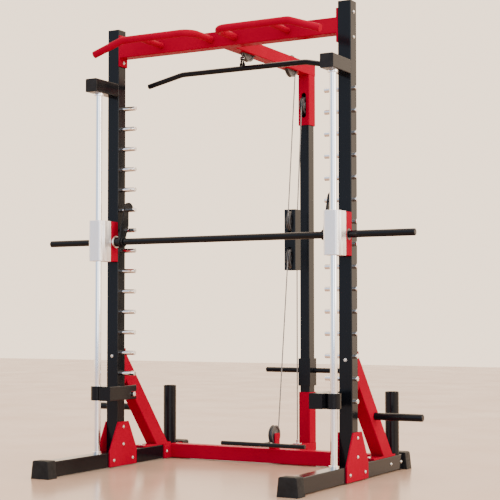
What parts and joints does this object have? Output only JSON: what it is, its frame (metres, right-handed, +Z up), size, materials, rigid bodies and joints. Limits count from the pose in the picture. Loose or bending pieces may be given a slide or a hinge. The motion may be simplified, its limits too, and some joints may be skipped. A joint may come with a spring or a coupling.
{
  "type": "smith machine",
  "caption": "Smith machine with a bar on guide rods, hooks and safety spotters, pull-up handles, and a plate-loaded cable tower with a lat bar and a low row bar.",
  "frame": {"origin": "on the floor, at the centre of the footprint, in the plane of symmetry", "axes": "+Z up, +Y from the front to the rear tower, +X to the machine's right seen from the front"},
  "size_m": [1.83, 1.39, 2.013],
  "materials": {
    "red_paint": "gloss",
    "black_paint": "gloss",
    "chrome": "polished",
    "zinc": "satin",
    "aluminium": "satin",
    "rubber": "matte",
    "nylon": "satin",
    "bearing_steel": "satin",
    "coated_cable": "satin"
  },
  "bodies": {
    "frame": {"top_crossmember": "red_paint", "pull_up_handles": "red_paint", "top_beam": "red_paint", "rear_top_bracket": "red_paint", "base_spine": "red_paint", "rear_crossmember": "red_paint", "rear_braces": "red_paint", "gusset_plates": "red_paint", "low_pulley_bracket": "red_paint", "side_feet": "black_paint", "left_upright": "black_paint", "right_upright": "black_paint", "top_arms": "black_paint", "rear_upright": "black_paint", "bar_holders": "black_paint", "plate_pegs": "black_paint", "guide_rods": "chrome", "guide_rod_collars": "chrome", "lock_pegs": "chrome", "gusset_bolts": "zinc", "crossmember_bolts": "zinc", "brace_bolts": "zinc", "pulley_axles": "zinc", "cable_anchor": "zinc", "foot_end_caps": "rubber", "tube_end_plugs": "rubber", "cable_lat_drop": "coated_cable", "cable_rear_drop": "coated_cable", "cable_block_rise": "coated_cable", "cable_sled_drop": "coated_cable", "cable_low_reach": "coated_cable", "cable_low_rise": "coated_cable", "cable_anchor_drop": "coated_cable", "cable_top_run": "coated_cable", "cable_bracket_wrap": "coated_cable", "cable_low_wrap": "coated_cable"},
    "carriages": {"carriage_housings": "aluminium", "linear_bushings": "bearing_steel", "bearing_boxes": "red_paint", "bar_bearings": "nylon"},
    "smith_bar": {"smith_bar": "black_paint", "lock_hooks": "black_paint"},
    "left_liner": {"left_spotter_liner": "nylon"},
    "left_spotter": {"left_spotter": "black_paint"},
    "right_liner": {"right_spotter_liner": "nylon"},
    "right_spotter": {"right_spotter": "black_paint"},
    "weight_sled": {"weight_sled": "black_paint"},
    "lat_hanger": {"lat_hanger": "zinc"},
    "lat_bar": {"lat_bar": "black_paint"},
    "front_top_pulley": {"front_top_pulley": "nylon"},
    "rear_top_pulley": {"rear_top_pulley": "nylon"},
    "bracket_pulley": {"bracket_pulley": "nylon"},
    "low_pulley": {"low_pulley": "nylon"},
    "low_hanger": {"low_bar_hanger": "zinc"},
    "low_bar": {"low_bar": "black_paint"},
    "pulley_block": {"pulley_block": "black_paint", "block_axles": "zinc", "cable_block_wraps": "coated_cable"},
    "block_upper_pulley": {"block_upper_pulley": "nylon"},
    "block_lower_pulley": {"block_lower_pulley": "nylon"}
  },
  "joints": [
    {"name": "smith_slide", "type": "slide", "parent": "frame", "child": "carriages", "axis": [0, 0, 1], "range_m": [-0.4683, 0.37464]},
    {"name": "bar_twist", "type": "hinge", "parent": "carriages", "child": "smith_bar", "pos_m": [0, -0.2, 1.026], "axis": [1, 0, 0], "range_deg": [0, 45]},
    {"name": "left_spotter_slide", "type": "slide", "parent": "frame", "child": "left_liner", "axis": [0, 0, 1], "range_m": [0, 0.56196]},
    {"name": "left_spotter_swing", "type": "hinge", "parent": "left_liner", "child": "left_spotter", "pos_m": [-0.588, -0.281, 0.341], "axis": [0, 0, 1], "range_deg": [-75, 0]},
    {"name": "right_spotter_slide", "type": "slide", "parent": "frame", "child": "right_liner", "axis": [0, 0, 1], "range_m": [0, 0.56196]},
    {"name": "right_spotter_swing", "type": "hinge", "parent": "right_liner", "child": "right_spotter", "pos_m": [0.588, -0.281, 0.341], "axis": [0, 0, 1], "range_deg": [0, 75]},
    {"name": "sled_slide", "type": "slide", "parent": "frame", "child": "weight_sled", "axis": [0, 0, 1], "range_m": [0, 0.9], "deforming": ["cable_sled_drop"]},
    {"name": "lat_slide", "type": "slide", "parent": "frame", "child": "lat_hanger", "axis": [0, 0, -1], "range_m": [0, 0.9], "deforming": ["cable_lat_drop"]},
    {"name": "lat_bar_swivel", "type": "hinge", "parent": "lat_hanger", "child": "lat_bar", "pos_m": [0, 0.006, 1.835], "axis": [0, 0, 1], "range_deg": [-90, 90]},
    {"name": "front_top_pulley_spin", "type": "hinge", "parent": "frame", "child": "front_top_pulley", "pos_m": [0, 0.054, 1.9], "axis": [1, 0, 0], "range_deg": [-1400, 1400]},
    {"name": "rear_top_pulley_spin", "type": "hinge", "parent": "frame", "child": "rear_top_pulley", "pos_m": [0, 0.486, 1.9], "axis": [1, 0, 0], "range_deg": [-1400, 1400]},
    {"name": "bracket_pulley_spin", "type": "hinge", "parent": "frame", "child": "bracket_pulley", "pos_m": [0, 0.639, 1.729], "axis": [1, 0, 0], "range_deg": [-1400, 1400]},
    {"name": "low_row_slide", "type": "slide", "parent": "frame", "child": "low_hanger", "axis": [0, -1, 0], "range_m": [0, 0.7], "stiffness_N_per_m": 20, "springref_m": -2, "deforming": ["cable_low_reach"]},
    {"name": "low_bar_turn", "type": "hinge", "parent": "low_hanger", "child": "low_bar", "pos_m": [0, 0.231, 0.096], "axis": [0, 1, 0], "range_deg": [-15, 15]},
    {"name": "block_slide", "type": "slide", "parent": "frame", "child": "pulley_block", "axis": [0, 0, -1], "range_m": [0, 0.35], "deforming": ["cable_rear_drop", "cable_block_rise", "cable_low_rise", "cable_anchor_drop"]},
    {"name": "low_pulley_spin", "type": "hinge", "parent": "frame", "child": "low_pulley", "pos_m": [0, 0.31, 0.134], "axis": [1, 0, 0], "range_deg": [-1400, 1400]},
    {"name": "block_upper_pulley_spin", "type": "hinge", "parent": "pulley_block", "child": "block_upper_pulley", "pos_m": [0, 0.5, 1.143], "axis": [1, 0, 0], "range_deg": [-1400, 1400]},
    {"name": "block_lower_pulley_spin", "type": "hinge", "parent": "pulley_block", "child": "block_lower_pulley", "pos_m": [0, 0.5, 0.968], "axis": [1, 0, 0], "range_deg": [-1400, 1400]}
  ],
  "couplings": [
    {"joint": "lat_slide", "follows": "sled_slide", "ratio": 1},
    {"joint": "front_top_pulley_spin", "follows": "sled_slide", "rad_per_m": 20.833},
    {"joint": "rear_top_pulley_spin", "follows": "sled_slide", "rad_per_m": 20.833},
    {"joint": "block_upper_pulley_spin", "follows": "sled_slide", "rad_per_m": -20.833},
    {"joint": "bracket_pulley_spin", "follows": "sled_slide", "rad_per_m": 26.316},
    {"joint": "block_slide", "follows": "low_row_slide", "ratio": 0.5},
    {"joint": "low_pulley_spin", "follows": "low_row_slide", "rad_per_m": -26.316},
    {"joint": "block_lower_pulley_spin", "follows": "low_row_slide", "rad_per_m": 10.417}
  ]
}
